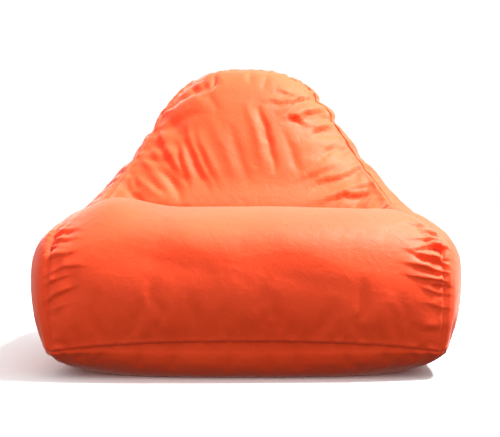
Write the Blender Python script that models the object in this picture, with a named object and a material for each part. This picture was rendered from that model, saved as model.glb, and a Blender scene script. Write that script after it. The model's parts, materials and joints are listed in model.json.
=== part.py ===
"""Bean bag lounge chair: a sewn cloth cover with a zip, a zipped liner inside it, and loose bead fill.

Metres, +Z up, -Y to the front, origin in the middle of the footprint on the floor. +X is the sitter's left.
The cover is seven cloth panels that share one smooth outer surface. The surface is a set of grids that meet
along the seams. Row t of every grid runs from the base seam (t = 0) to the top seam (t = LAST): up the front,
back over the seat to the crease and up the backrest on the seat side, and straight up on the rear side.
"""

import math

import bmesh
import bpy
import numpy as np
from mathutils.kdtree import KDTree

# Driving dimensions
WIDTH = 0.900
DEPTH = 0.866
HEIGHT = 0.668

# Cloth, liner and fill: thicknesses, and how deep each layer lies under the outer surface
COVER_THICK = 0.0010
LINER_THICK = 0.0008
LAYER_GAP = 0.0006
SEAM_GAP = 0.0007
THREAD_RADIUS = 0.0004
THREAD_LIFT = 0.0010
THREAD_END = 0.0060

# Cover zip: coil chain of two halves, with tapes sewn behind the cloth on each side of the opening
ZIP_LENGTH = 0.440
ZIP_OPENING = 0.014
TAPE_WIDTH = 0.016
TAPE_THICK = 0.0006
PIECE_GAP = 0.0004
TAPE_GAP = PIECE_GAP
COIL_WIDTH = 0.0030
COIL_HEIGHT = 0.0022
CHAIN_SLOT = 0.0010
SLIDER_LENGTH = 0.0130
SLIDER_PLATE = 0.0010
SLIDER_CLEARANCE = 0.0004
SLIDER_WALL = 0.0010
SLIDER_POST = 0.0004
SLIDER_POST_LENGTH = 0.0040
SLIDER_PARK_GAP = 0.0010
STOP_LENGTH = 0.0040
END_MARGIN = 0.0150
GARAGE_LENGTH = 0.030
GARAGE_WIDTH = 0.022
GARAGE_RISE = 0.0040
GARAGE_THICK = 0.0008
LABEL_SIZE = (0.036, 0.020)
LABEL_THICK = 0.0005
LABEL_PLACE = -0.140

# The cloth is pushed in behind the zip by these depths, so that each slider runs free
LINER_DEPTH_AT_ZIP = 0.0130
FILL_DEPTH_AT_ZIP = 0.0200
ZIP_ZONE = (0.270, 0.036)
ZIP_ZONE_FADE = 0.070

# Stations up the chair, as shares: x of half the width, y of the depth from the front, z of the height
SEAT_CENTRE = [
    (0.030, 0.115), (0.004, 0.228), (0.000, 0.350), (0.050, 0.462), (0.170, 0.521),
    (0.335, 0.503), (0.490, 0.445), (0.590, 0.410), (0.645, 0.500), (0.685, 0.630),
    (0.725, 0.757), (0.772, 0.876), (0.830, 0.962), (0.905, 1.000),
]
SEAT_SEAM = [
    (0.860, 0.060, 0.090), (0.890, 0.044, 0.190), (0.900, 0.050, 0.300), (0.896, 0.083, 0.393),
    (0.880, 0.155, 0.448), (0.848, 0.285, 0.474), (0.806, 0.440, 0.486), (0.764, 0.585, 0.502),
    (0.708, 0.668, 0.560), (0.620, 0.735, 0.645), (0.522, 0.795, 0.750), (0.438, 0.843, 0.848),
    (0.350, 0.880, 0.922), (0.262, 0.912, 0.966),
]
SIDE_SWELL = [
    0.885, 0.968, 0.998, 1.000, 0.982, 0.945, 0.888, 0.822, 0.745, 0.645, 0.545, 0.462, 0.372, 0.262,
]
REAR_SEAM = [
    (0.790, 0.925, 0.085), (0.812, 0.945, 0.145), (0.822, 0.950, 0.205), (0.822, 0.952, 0.270),
    (0.815, 0.956, 0.335), (0.800, 0.961, 0.395), (0.775, 0.965, 0.455), (0.738, 0.967, 0.515),
    (0.690, 0.967, 0.580), (0.618, 0.966, 0.655), (0.526, 0.964, 0.755), (0.440, 0.962, 0.845),
    (0.352, 0.950, 0.918), (0.262, 0.912, 0.966),
]
REAR_CENTRE = [
    (0.955, 0.100), (0.970, 0.148), (0.975, 0.205), (0.976, 0.270), (0.983, 0.335),
    (0.992, 0.400), (0.998, 0.465), (1.000, 0.530), (1.000, 0.600), (0.997, 0.680),
    (0.991, 0.775), (0.982, 0.865), (0.964, 0.942), (0.905, 1.000),
]
CREASE = 7
LAST = 13

# Where the grids are cut, finer beside the seams: across the chair, and from front to rear
ACROSS = [-1, -0.95, -0.85, -0.68, -0.6, -0.3, 0, 0.3, 0.6, 0.68, 0.85, 0.95, 1]
ALONG = [0, 0.03, 0.085, 0.28, 0.5, 0.72, 0.915, 0.97, 1]
SEAT_ROWS = 10
BACKREST_ROWS = 9
ZIP_ROW = 3
ZIP_COLUMN = 0.6
FLAT_COLUMN = 0.68
MIDDLE = len(ACROSS) // 2
FRONT_FULLNESS = 2.6
REAR_FULLNESS = 3.2
BASE_ROUNDNESS = 4
BASE_CONTACT = 0.84

CLOTH = ("cover_cloth", (0.91, 0.13, 0.04), 0.55)
THREAD = ("sewing_thread", (0.62, 0.07, 0.02), 0.6)
TAPE = ("zip_tape", (0.80, 0.13, 0.04), 0.7)
COIL = ("zip_coil", (0.75, 0.12, 0.04), 0.35)
LINER_TAPE = ("liner_zip_tape", (0.80, 0.80, 0.78), 0.7)
LINER_COIL = ("liner_zip_coil", (0.82, 0.82, 0.80), 0.35)
METAL = ("zip_metal", (0.55, 0.55, 0.56), 0.35)
LINER = ("liner_cloth", (0.86, 0.86, 0.84), 0.75)
BEADS = ("bead_fill", (0.93, 0.93, 0.92), 0.85)
LABEL = ("care_label", (0.90, 0.90, 0.88), 0.8)


# Shared helpers


def clear_scene():
    for obj in list(bpy.data.objects):
        bpy.data.objects.remove(obj)


def material(spec):
    name, colour, roughness = spec
    found = bpy.data.materials.get(name)
    if found:
        return found
    made = bpy.data.materials.new(name)
    made.use_nodes = True
    shader = made.node_tree.nodes["Principled BSDF"]
    shader.inputs["Base Color"].default_value = (*colour, 1)
    shader.inputs["Roughness"].default_value = roughness
    shader.inputs["Metallic"].default_value = 1.0 if spec is METAL else 0.0
    return made


def add_mesh(name, mesh_data, spec, place=(0, 0, 0)):
    """Makes the object from a bmesh, with its faces turned outwards."""
    bmesh.ops.remove_doubles(mesh_data, verts=mesh_data.verts, dist=1e-6)
    bmesh.ops.recalc_face_normals(mesh_data, faces=mesh_data.faces)
    mesh = bpy.data.meshes.new(name)
    mesh_data.to_mesh(mesh)
    mesh_data.free()
    mesh.materials.append(material(spec))
    mesh.shade_smooth()
    mesh.set_sharp_from_angle(angle=math.radians(35))
    obj = bpy.data.objects.new(name, mesh)
    obj.location = place
    bpy.context.scene.collection.objects.link(obj)
    return obj


def catmull_rom(points, t):
    """The point at t on a smooth curve through evenly spaced points."""
    points = np.asarray(points, float)
    i = min(int(t), len(points) - 2)
    f = t - i
    before = points[i - 1] if i > 0 else 2 * points[0] - points[1]
    after = points[i + 2] if i + 2 < len(points) else 2 * points[-1] - points[-2]
    a, b = points[i], points[i + 1]
    return 0.5 * (
        2 * a
        + (b - before) * f
        + (2 * before - 5 * a + 4 * b - after) * f**2
        + (3 * a - before - 3 * b + after) * f**3
    )


def share(x, low, high):
    """How far x is from low to high, between 0 and 1."""
    return min(max((x - low) / (high - low), 0.0), 1.0)


def smooth_share(x, low, high):
    x = share(x, low, high)
    return x * x * (3 - 2 * x)


def sized(x, y, z):
    """Shares of the driving dimensions, as a point."""
    return np.array([x * WIDTH / 2, (y - 0.5) * DEPTH, z * HEIGHT])


# The outer surface, as grids of points


def row_values():
    seat = [CREASE * i / SEAT_ROWS for i in range(SEAT_ROWS)]
    back = [CREASE + (LAST - CREASE) * i / BACKREST_ROWS for i in range(BACKREST_ROWS + 1)]
    return seat + back


def across_row(centre, seam, fullness):
    """Points from the right seam to the left one, full in the middle and falling away to the seams."""
    points = []
    for u in ACROSS:
        fall = abs(u) ** fullness
        y = centre[0] + (seam[1] - centre[0]) * fall
        z = centre[1] + (seam[2] - centre[1]) * fall
        points.append(sized(u * seam[0], y, z))
    return points


def front_grid():
    return [
        across_row(catmull_rom(SEAT_CENTRE, t), catmull_rom(SEAT_SEAM, t), FRONT_FULLNESS)
        for t in row_values()
    ]


def rear_fullness(t):
    """The rear's rows take on the shape of the front's towards the top seam, which they share."""
    return REAR_FULLNESS + (FRONT_FULLNESS - REAR_FULLNESS) * smooth_share(t, CREASE, LAST)


def rear_grid():
    grid = [
        across_row(catmull_rom(REAR_CENTRE, t), catmull_rom(REAR_SEAM, t), rear_fullness(t))
        for t in row_values()
    ]
    zip_y = grid[ZIP_ROW][MIDDLE][1]
    for row in range(ZIP_ROW - 1, ZIP_ROW + 2):
        for u, point in zip(ACROSS, grid[row]):
            if abs(u) <= FLAT_COLUMN:
                point[1] = zip_y
                point[2] = grid[row][MIDDLE][2]
    return grid


def side_grid(front, rear):
    """The left side panel, from front seam to rear seam. It swells out, and drops fastest at the front."""
    grid = []
    for row, t in enumerate(row_values()):
        a, b = front[row][-1], rear[row][-1]
        swell = catmull_rom([[x] for x in SIDE_SWELL], t)[0] * WIDTH / 2
        line = []
        for s in ALONG:
            point = a + (b - a) * (s, s, math.sqrt(s))
            point[0] += (swell - (a[0] + b[0]) / 2) * math.sqrt(max(0.0, 1 - (2 * s - 1) ** 4))
            line.append(point)
        grid.append(line)
    return grid


def base_grid(front, rear, side):
    """Coons patch between the base seams, pressed flat on the floor inside a rounded outline."""
    first, last = front[0], rear[0]
    left = side[0]
    right = [p * (-1, 1, 1) for p in left]
    grid = []
    for k, s in enumerate(ALONG):
        line = []
        for j, u in enumerate(ACROSS):
            w = (u + 1) / 2
            ruled = (1 - s) * first[j] + s * last[j] + (1 - w) * right[k] + w * left[k]
            corners = (
                (1 - s) * ((1 - w) * first[0] + w * first[-1])
                + s * ((1 - w) * last[0] + w * last[-1])
            )
            point = ruled - corners
            a, b = abs(u), abs(2 * s - 1)
            rounded = (a**BASE_ROUNDNESS + b**BASE_ROUNDNESS) ** (1 / BASE_ROUNDNESS)
            curl = sum(share(r, BASE_CONTACT, 1) for r in (rounded, max(a, b))) / 2
            point[2] *= 1 - math.sqrt(1 - curl**2)
            line.append(point)
        grid.append(line)
    return grid


def mirrored(grid):
    return [[p * (-1, 1, 1) for p in line] for line in grid]


def outer_surface():
    """Each panel's grid of points, stretched together to fill the driving dimensions exactly."""
    front = front_grid()
    rear = rear_grid()
    side = side_grid(front, rear)
    grids = {
        "front_seat_panel": front[:SEAT_ROWS + 1],
        "backrest_panel": front[SEAT_ROWS:],
        "side_panel_left": side,
        "side_panel_right": mirrored(side),
        "rear_apron_panel": rear[:ZIP_ROW + 1],
        "back_panel": rear[ZIP_ROW:],
        "base_panel": base_grid(front, rear, side),
    }
    points = np.concatenate([np.reshape(grid, (-1, 3)) for grid in grids.values()])
    low, high = points.min(axis=0), points.max(axis=0)
    scale = np.array([WIDTH, DEPTH, HEIGHT]) / (high - low)
    corner = np.array([-WIDTH / 2, -DEPTH / 2, 0])
    return {name: (np.array(grid) - low) * scale + corner for name, grid in grids.items()}


def add_grid(mesh_data, grid):
    """Adds each cell of the grid as two triangles, split along the diagonal towards the grid's middle."""
    verts = [[mesh_data.verts.new(p) for p in line] for line in grid]
    rows, columns = len(verts) - 1, len(verts[0]) - 1
    for i in range(rows):
        for j in range(columns):
            a, b, c, d = verts[i][j], verts[i][j + 1], verts[i + 1][j + 1], verts[i + 1][j]
            rising = (2 * i < rows) == (2 * j < columns)
            for face in ((a, b, c), (a, c, d)) if rising else ((a, b, d), (b, c, d)):
                mesh_data.faces.new(face)
    return verts


def welded(surface):
    """All the grids as one closed mesh, with its faces turned outwards."""
    whole = bmesh.new()
    for grid in surface.values():
        add_grid(whole, grid)
    bmesh.ops.remove_doubles(whole, verts=whole.verts, dist=1e-6)
    bmesh.ops.recalc_face_normals(whole, faces=whole.faces)
    whole.normal_update()
    return whole


class Normals:
    """For a point of the surface, its outward normal times the factor that keeps a layer's thickness even."""

    def __init__(self, surface):
        whole = welded(surface)
        self.tree = KDTree(len(whole.verts))
        self.found = []
        for vert in whole.verts:
            self.tree.insert(vert.co, vert.index)
            self.found.append(np.array(vert.normal) * vert.calc_shell_factor())
        self.tree.balance()
        whole.free()

    def at(self, point):
        return self.found[self.tree.find(point)[1]]


# Cover panels


def pulled_in(grid):
    """The grid with its edge drawn in by half the seam gap, so that panels don't touch."""
    points = np.array(grid)
    moved = points.copy()
    edges = (
        (moved[0], points[1] - points[0]),
        (moved[-1], points[-2] - points[-1]),
        (moved[:, 0], points[:, 1] - points[:, 0]),
        (moved[:, -1], points[:, -2] - points[:, -1]),
    )
    for edge, away in edges:
        if np.ptp(edge, axis=0).max() < 1e-6:
            away[:] = away.mean(axis=0)
        length = np.linalg.norm(away, axis=1, keepdims=True)
        edge += away / np.maximum(length, 1e-6) * SEAM_GAP / 2
    return moved


def open_for_zip(grid, row, sign):
    """The panel's edge moved off the zip by half the opening."""
    for u, point in zip(ACROSS, grid[row]):
        if abs(u) <= ZIP_COLUMN:
            point[2] += sign * ZIP_OPENING / 2


def add_shell(name, outer, inner, spec):
    """A thin closed shell between two grids of the same shape."""
    shell = bmesh.new()
    top = add_grid(shell, outer)
    bottom = add_grid(shell, inner)
    rows, columns = len(top), len(top[0])
    loop = (
        [(0, j) for j in range(columns)]
        + [(i, columns - 1) for i in range(1, rows)]
        + [(rows - 1, j) for j in range(columns - 2, -1, -1)]
        + [(i, 0) for i in range(rows - 2, 0, -1)]
    )
    for (i, j), (k, m) in zip(loop, loop[1:] + loop[:1]):
        shell.faces.new((top[i][j], top[k][m], bottom[k][m], bottom[i][j]))
    return add_mesh(name, shell, spec)


def add_cover(surface, normals):
    for name, grid in surface.items():
        direction = np.array([[normals.at(p) for p in line] for line in grid])
        outer = pulled_in(grid)
        if name == "rear_apron_panel":
            open_for_zip(outer, -1, -1)
        if name == "back_panel":
            open_for_zip(outer, 0, 1)
        add_shell(name, outer, outer - direction * COVER_THICK, CLOTH)


# Liner and fill


def depth_under(point, normal_depth, zip_depth, zip_at):
    """How deep a layer lies at a point: deeper behind the zip."""
    if point[1] < 0:
        return normal_depth
    over_x = max(0.0, abs(point[0]) - ZIP_ZONE[0])
    over_z = max(0.0, abs(point[2] - zip_at[2]) - ZIP_ZONE[1])
    near = smooth_share(math.hypot(over_x, over_z), ZIP_ZONE_FADE, 0)
    return normal_depth + (zip_depth - normal_depth) * near


def sunk(surface, normals, normal_depth, zip_depth, zip_at):
    return {
        name: [
            [p - normals.at(p) * depth_under(p, normal_depth, zip_depth, zip_at) for p in line]
            for line in grid
        ]
        for name, grid in surface.items()
    }


def add_liner(surface, normals, zip_at):
    """One closed bag wall, open only along its own zip."""
    normal_depth = COVER_THICK + LAYER_GAP
    walls = []
    for extra in (0.0, LINER_THICK):
        wall = sunk(surface, normals, normal_depth + extra, LINER_DEPTH_AT_ZIP + extra, zip_at)
        open_for_zip(wall["rear_apron_panel"], -1, -1)
        open_for_zip(wall["back_panel"], 0, 1)
        walls.append(welded(wall))
    outside, inside = walls
    bmesh.ops.reverse_faces(inside, faces=inside.faces)
    joined = bpy.data.meshes.new("liner_inside")
    inside.to_mesh(joined)
    inside.free()
    outside.from_mesh(joined)
    bpy.data.meshes.remove(joined)
    rim = [e for e in outside.edges if e.is_boundary]
    bmesh.ops.bridge_loops(outside, edges=rim)
    return add_mesh("liner_bag", outside, LINER)


def add_fill(surface, normals, zip_at):
    normal_depth = COVER_THICK + LINER_THICK + 2 * LAYER_GAP
    fill = welded(sunk(surface, normals, normal_depth, FILL_DEPTH_AT_ZIP, zip_at))
    return add_mesh("bead_fill", fill, BEADS)


# Sewing


def add_thread(name, points, normals, closed=False):
    """A thread along a seam, lying just proud of the two panels that it joins."""
    path = [p + normals.at(p) * THREAD_LIFT for p in points]
    if not closed:
        for end, inner in ((0, 1), (-1, -2)):
            away = path[inner] - path[end]
            length = np.linalg.norm(away)
            path[end] = path[end] + away / length * min(THREAD_END, 0.4 * length)
    curve = bpy.data.curves.new(name, "CURVE")
    curve.dimensions = "3D"
    curve.bevel_depth = THREAD_RADIUS
    curve.bevel_resolution = 0
    curve.use_fill_caps = not closed
    line = curve.splines.new("POLY")
    line.points.add(len(path) - 1)
    line.use_cyclic_u = closed
    for target, point in zip(line.points, path):
        target.co = (*point, 1)
    curve.materials.append(material(THREAD))
    thread = bpy.data.objects.new(name, curve)
    bpy.context.scene.collection.objects.link(thread)
    return thread


def add_sewing(surface, normals):
    base = surface["base_panel"]
    for hand in ("left", "right"):
        side = surface[f"side_panel_{hand}"]
        add_thread(f"seat_thread_{hand}", side[:SEAT_ROWS, 0], normals)
        add_thread(f"backrest_thread_{hand}", side[SEAT_ROWS:-1, 0], normals)
        add_thread(f"rear_thread_{hand}", side[:-1, -1], normals)
    add_thread("crease_thread", surface["backrest_panel"][0][1:-1], normals)
    add_thread("top_thread", surface["backrest_panel"][-1], normals)
    rim = np.concatenate([base[0][:-1], base[:-1, -1], base[-1][:0:-1], base[:0:-1, 0]])
    add_thread("base_thread", rim, normals, True)


# Zips


def box(mesh_data, low, high):
    places = [(x, y, z) for x in (low[0], high[0]) for y in (low[1], high[1]) for z in (low[2], high[2])]
    corners = [mesh_data.verts.new(place) for place in places]
    for face in ((0, 1, 3, 2), (4, 6, 7, 5), (0, 4, 5, 1), (2, 3, 7, 6), (0, 2, 6, 4), (1, 5, 7, 3)):
        mesh_data.faces.new([corners[i] for i in face])


def add_box(name, low, high, spec):
    low, high = np.minimum(low, high), np.maximum(low, high)
    centre = (np.array(low) + high) / 2
    mesh_data = bmesh.new()
    box(mesh_data, low - centre, high - centre)
    return add_mesh(name, mesh_data, spec, centre)


def prism(mesh_data, outline, y_low, y_high):
    """An outline in XZ, extruded along Y."""
    rings = [[mesh_data.verts.new((x, y, z)) for x, z in outline] for y in (y_low, y_high)]
    mesh_data.faces.new(rings[0])
    mesh_data.faces.new(rings[1][::-1])
    for i in range(len(outline)):
        k = (i + 1) % len(outline)
        mesh_data.faces.new((rings[0][i], rings[0][k], rings[1][k], rings[1][i]))


def joined(name, shapes, spec, place):
    """The Boolean union of several simple solids, as one object."""
    base = None
    for build in shapes:
        mesh_data = bmesh.new()
        build(mesh_data)
        piece = add_mesh(name if base is None else name + "_part", mesh_data, spec, place)
        if base is None:
            base = piece
            continue
        union = base.modifiers.new("union", "BOOLEAN")
        union.operation = "UNION"
        union.solver = "EXACT"
        union.object = piece
        piece.hide_render = True
        piece.display_type = "WIRE"
    return base


def add_slider(name, place):
    """Two plates joined by a thin post that runs between the coils, with walls that guide the chain."""
    half = SLIDER_LENGTH / 2
    back, front = -0.4 * half, 0.7 * half
    wall_in = CHAIN_SLOT / 2 + COIL_WIDTH + SLIDER_CLEARANCE
    wide = wall_in + SLIDER_WALL
    nose = 0.55 * wide
    outline = [
        (-half, -nose), (back, -wide), (front, -wide), (half, -nose),
        (half, nose), (front, wide), (back, wide), (-half, nose),
    ]
    over = TAPE_GAP + COIL_HEIGHT + SLIDER_CLEARANCE
    under = -TAPE_THICK - SLIDER_CLEARANCE
    sunk_in = SLIDER_PLATE / 2
    post = (SLIDER_POST_LENGTH / 2, SLIDER_POST / 2)
    shapes = [
        lambda m: prism(m, outline, over, over + SLIDER_PLATE),
        lambda m: prism(m, outline, under - SLIDER_PLATE, under),
        lambda m: box(m, (-post[0], under - sunk_in, -post[1]), (post[0], over + sunk_in, post[1])),
        lambda m: box(m, (back, SLIDER_CLEARANCE, wall_in), (front, over + sunk_in, wide)),
        lambda m: box(m, (back, SLIDER_CLEARANCE, -wide), (front, over + sunk_in, -wall_in)),
    ]
    return joined(name, shapes, METAL, place)


def add_zip(prefix, zip_at, cloth_depth, tape, coil):
    """A closed zip, behind cloth whose inner face lies at cloth_depth under the outer surface."""
    tape_y = zip_at[1] - cloth_depth - TAPE_GAP
    z = zip_at[2]
    half = ZIP_LENGTH / 2
    slot = CHAIN_SLOT / 2
    for sign, where in ((1, "upper"), (-1, "lower")):
        add_box(
            f"{prefix}_zip_tape_{where}",
            (-half - END_MARGIN, tape_y - TAPE_THICK, z + sign * slot),
            (half + END_MARGIN, tape_y, z + sign * (slot + TAPE_WIDTH)),
            tape,
        )
        add_box(
            f"{prefix}_zip_coil_{where}",
            (-half, tape_y + TAPE_GAP, z + sign * slot),
            (half, tape_y + TAPE_GAP + COIL_HEIGHT, z + sign * (slot + COIL_WIDTH)),
            coil,
        )
    reach = slot + COIL_WIDTH
    for sign, end in ((-1, "open"), (1, "closed")):
        near = sign * (half + PIECE_GAP)
        far = near + sign * STOP_LENGTH
        add_box(
            f"{prefix}_zip_stop_{end}",
            (near, tape_y + TAPE_GAP, z - reach),
            (far, tape_y + TAPE_GAP + COIL_HEIGHT, z + reach),
            METAL,
        )
    slider_x = half - SLIDER_LENGTH / 2 - SLIDER_PARK_GAP
    return add_slider(f"{prefix}_zip_slider", (slider_x, tape_y, z))


def add_garage(zip_at):
    """A cloth tunnel sewn over the closed end of the cover's zip, where its slider parks."""
    foot = zip_at[1] + PIECE_GAP
    half = GARAGE_WIDTH / 2
    steps = 10
    outer = []
    inner = []
    for i in range(steps + 1):
        z_share = 2 * i / steps - 1
        y = foot + GARAGE_RISE * (1 - z_share**4)
        normal = np.array([0, 1, GARAGE_RISE * 4 * z_share**3 / half])
        normal /= np.linalg.norm(normal)
        inner.append(np.array([0, y, half * z_share]))
        outer.append(inner[-1] + normal * GARAGE_THICK)
    profile = outer + inner[::-1]
    tunnel = bmesh.new()
    x_low = ZIP_LENGTH / 2 - GARAGE_LENGTH * 0.6
    ends = [
        [tunnel.verts.new((x, p[1], p[2] + zip_at[2])) for p in profile]
        for x in (x_low, x_low + GARAGE_LENGTH)
    ]
    count = len(profile)
    for i in range(count):
        k = (i + 1) % count
        tunnel.faces.new((ends[0][i], ends[0][k], ends[1][k], ends[1][i]))
    for ring in ends:
        for i in range(steps):
            tunnel.faces.new((ring[i], ring[i + 1], ring[count - 2 - i], ring[count - 1 - i]))
    return add_mesh("zip_garage", tunnel, CLOTH)


def add_label(zip_at):
    """A blank care label sewn on under the zip."""
    wide, tall = LABEL_SIZE
    top = zip_at[2] - ZIP_OPENING / 2 - 0.001
    near = zip_at[1] + PIECE_GAP
    return add_box(
        "care_label",
        (LABEL_PLACE - wide / 2, near, top - tall),
        (LABEL_PLACE + wide / 2, near + LABEL_THICK, top),
        LABEL,
    )


def main():
    clear_scene()
    surface = outer_surface()
    normals = Normals(surface)
    zip_at = surface["back_panel"][0][MIDDLE]
    add_cover(surface, normals)
    add_liner(surface, normals, zip_at)
    add_fill(surface, normals, zip_at)
    add_sewing(surface, normals)
    add_zip("cover", zip_at, COVER_THICK, TAPE, COIL)
    add_zip("liner", zip_at, LINER_DEPTH_AT_ZIP + LINER_THICK, LINER_TAPE, LINER_COIL)
    add_garage(zip_at)
    add_label(zip_at)


main()
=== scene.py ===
"""The looks of a bean bag lounge chair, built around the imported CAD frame.

Metres, +Z up, -Y to the front, as the frame has it. The cover is one closed cloth form of seven panels, each
a grid over the same stations as the CAD's panels. The grids are welded, given broad swells and blown up by a
cloth simulation in which the seams are shorter than the cloth beside them. The result is read onto finer
grids, which get the tucks, creases, seams and puckers. The stitches, zip and trim lie on the finished cover.
"""

import json
import math

import bmesh
import bpy
import numpy as np
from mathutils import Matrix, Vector
from mathutils.kdtree import KDTree

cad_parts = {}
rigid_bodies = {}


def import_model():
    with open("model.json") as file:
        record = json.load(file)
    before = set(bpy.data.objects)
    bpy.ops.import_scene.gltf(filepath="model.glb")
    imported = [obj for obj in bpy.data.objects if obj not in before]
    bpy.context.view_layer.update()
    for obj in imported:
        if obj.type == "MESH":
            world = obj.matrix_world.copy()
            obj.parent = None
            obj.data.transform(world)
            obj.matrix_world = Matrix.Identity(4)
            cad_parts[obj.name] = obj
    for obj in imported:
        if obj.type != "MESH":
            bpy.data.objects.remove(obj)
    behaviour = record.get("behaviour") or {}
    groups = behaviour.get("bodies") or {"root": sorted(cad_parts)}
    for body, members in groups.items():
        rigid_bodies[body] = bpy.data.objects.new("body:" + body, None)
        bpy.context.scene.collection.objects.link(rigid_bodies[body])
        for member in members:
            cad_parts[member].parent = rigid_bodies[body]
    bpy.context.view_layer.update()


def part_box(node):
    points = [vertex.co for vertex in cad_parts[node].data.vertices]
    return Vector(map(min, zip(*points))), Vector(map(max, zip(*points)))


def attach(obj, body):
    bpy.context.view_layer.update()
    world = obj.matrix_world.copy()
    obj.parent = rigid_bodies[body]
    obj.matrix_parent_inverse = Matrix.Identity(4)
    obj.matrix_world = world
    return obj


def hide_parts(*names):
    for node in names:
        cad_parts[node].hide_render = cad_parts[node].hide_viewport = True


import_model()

# ---------------------------------------------------------------- the outer surface

# Stations up the chair, as shares: x of half the width, y of the depth from the front, z of the height
SEAT_CENTRE = [
    (0.024, 0.115), (0.000, 0.225), (0.008, 0.343), (0.058, 0.450), (0.174, 0.506),
    (0.335, 0.503), (0.490, 0.445), (0.590, 0.410), (0.645, 0.500), (0.685, 0.630),
    (0.725, 0.757), (0.772, 0.876), (0.830, 0.962), (0.905, 1.000),
]
SEAT_SEAM = [
    (0.884, 0.052, 0.080), (0.897, 0.044, 0.187), (0.900, 0.050, 0.300), (0.896, 0.083, 0.393),
    (0.880, 0.155, 0.448), (0.848, 0.285, 0.474), (0.806, 0.440, 0.486), (0.764, 0.585, 0.502),
    (0.708, 0.668, 0.560), (0.620, 0.735, 0.645), (0.522, 0.795, 0.750), (0.438, 0.843, 0.848),
    (0.350, 0.880, 0.922), (0.262, 0.912, 0.966),
]
SIDE_SWELL = [
    0.918, 0.972, 0.998, 1.000, 0.982, 0.945, 0.888, 0.822, 0.745, 0.645, 0.545, 0.462, 0.372, 0.262,
]
REAR_SEAM = [
    (0.790, 0.925, 0.085), (0.812, 0.945, 0.145), (0.822, 0.950, 0.205), (0.822, 0.952, 0.270),
    (0.815, 0.956, 0.335), (0.800, 0.961, 0.395), (0.775, 0.965, 0.455), (0.738, 0.967, 0.515),
    (0.690, 0.967, 0.580), (0.618, 0.966, 0.655), (0.526, 0.964, 0.755), (0.440, 0.962, 0.845),
    (0.352, 0.950, 0.918), (0.262, 0.912, 0.966),
]
REAR_CENTRE = [
    (0.955, 0.100), (0.970, 0.148), (0.975, 0.205), (0.976, 0.270), (0.983, 0.335),
    (0.992, 0.400), (0.998, 0.465), (1.000, 0.530), (1.000, 0.600), (0.997, 0.680),
    (0.991, 0.775), (0.982, 0.865), (0.964, 0.942), (0.905, 1.000),
]
CREASE = 7
LAST = 13
FRONT_FULLNESS = 2.6
REAR_FULLNESS = 3.2
BASE_ROUNDNESS = 4
BASE_CONTACT = 0.84
SIDE_FULLNESS = 4
CORNER_CURL = 1.6

# The CAD's cover without its stitches and zip gives the size
COVER_NODES = [
    "front_seat_panel", "backrest_panel", "side_panel_left", "side_panel_right",
    "back_panel", "rear_apron_panel", "base_panel",
]
cover_low = np.min([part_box(n)[0] for n in COVER_NODES], axis=0)
cover_high = np.max([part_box(n)[1] for n in COVER_NODES], axis=0)
SIZE = cover_high - cover_low
ZIP_HALF_GAP = 0.0005
CLOTH_OVER_TAPE = 0.0014
ZIP_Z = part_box("cover_zip_coil_lower")[1][2] + ZIP_HALF_GAP
ZIP_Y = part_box("cover_zip_tape_lower")[1][1] + CLOTH_OVER_TAPE
ZIP_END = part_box("cover_zip_tape_lower")[1][0]
# How far from the zip the cover's back starts to flatten, and how far from it the back is flat
FLAT_BESIDE = (0.30, 0.245)
FLAT_ABOVE = (0.055, 0.030)


def smooth(x, low=0.0, high=1.0):
    """0 up to low, 1 from high, and a smooth ramp between."""
    x = np.clip((x - low) / (high - low), 0, 1)
    return x * x * (3 - 2 * x)


def spline_matrix(count, t):
    """Weights that read a Catmull-Rom curve through count evenly spaced points at each t."""
    t = np.asarray(t, float)
    i = np.clip(t.astype(int), 0, count - 2)
    f = t - i
    weights = np.zeros((len(t), count + 2))
    row = np.arange(len(t))
    weights[row, i] += 0.5 * (-f + 2 * f**2 - f**3)
    weights[row, i + 1] += 0.5 * (2 - 5 * f**2 + 3 * f**3)
    weights[row, i + 2] += 0.5 * (f + 4 * f**2 - 3 * f**3)
    weights[row, i + 3] += 0.5 * (-(f**2) + f**3)
    inner = weights[:, 1:-1].copy()
    inner[:, 0] += 2 * weights[:, 0]
    inner[:, 1] -= weights[:, 0]
    inner[:, -1] += 2 * weights[:, -1]
    inner[:, -2] -= weights[:, -1]
    return inner


def along(stations, t):
    return spline_matrix(len(stations), t) @ np.asarray(stations, float)


def across_rows(centre, seam, fullness, u):
    fall = np.abs(u)[None, :] ** fullness[:, None]
    x = seam[:, :1] * u[None, :]
    y = centre[:, :1] + (seam[:, 1:2] - centre[:, :1]) * fall
    z = centre[:, 1:2] + (seam[:, 2:3] - centre[:, 1:2]) * fall
    return np.stack([x, y, z], axis=-1)


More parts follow.
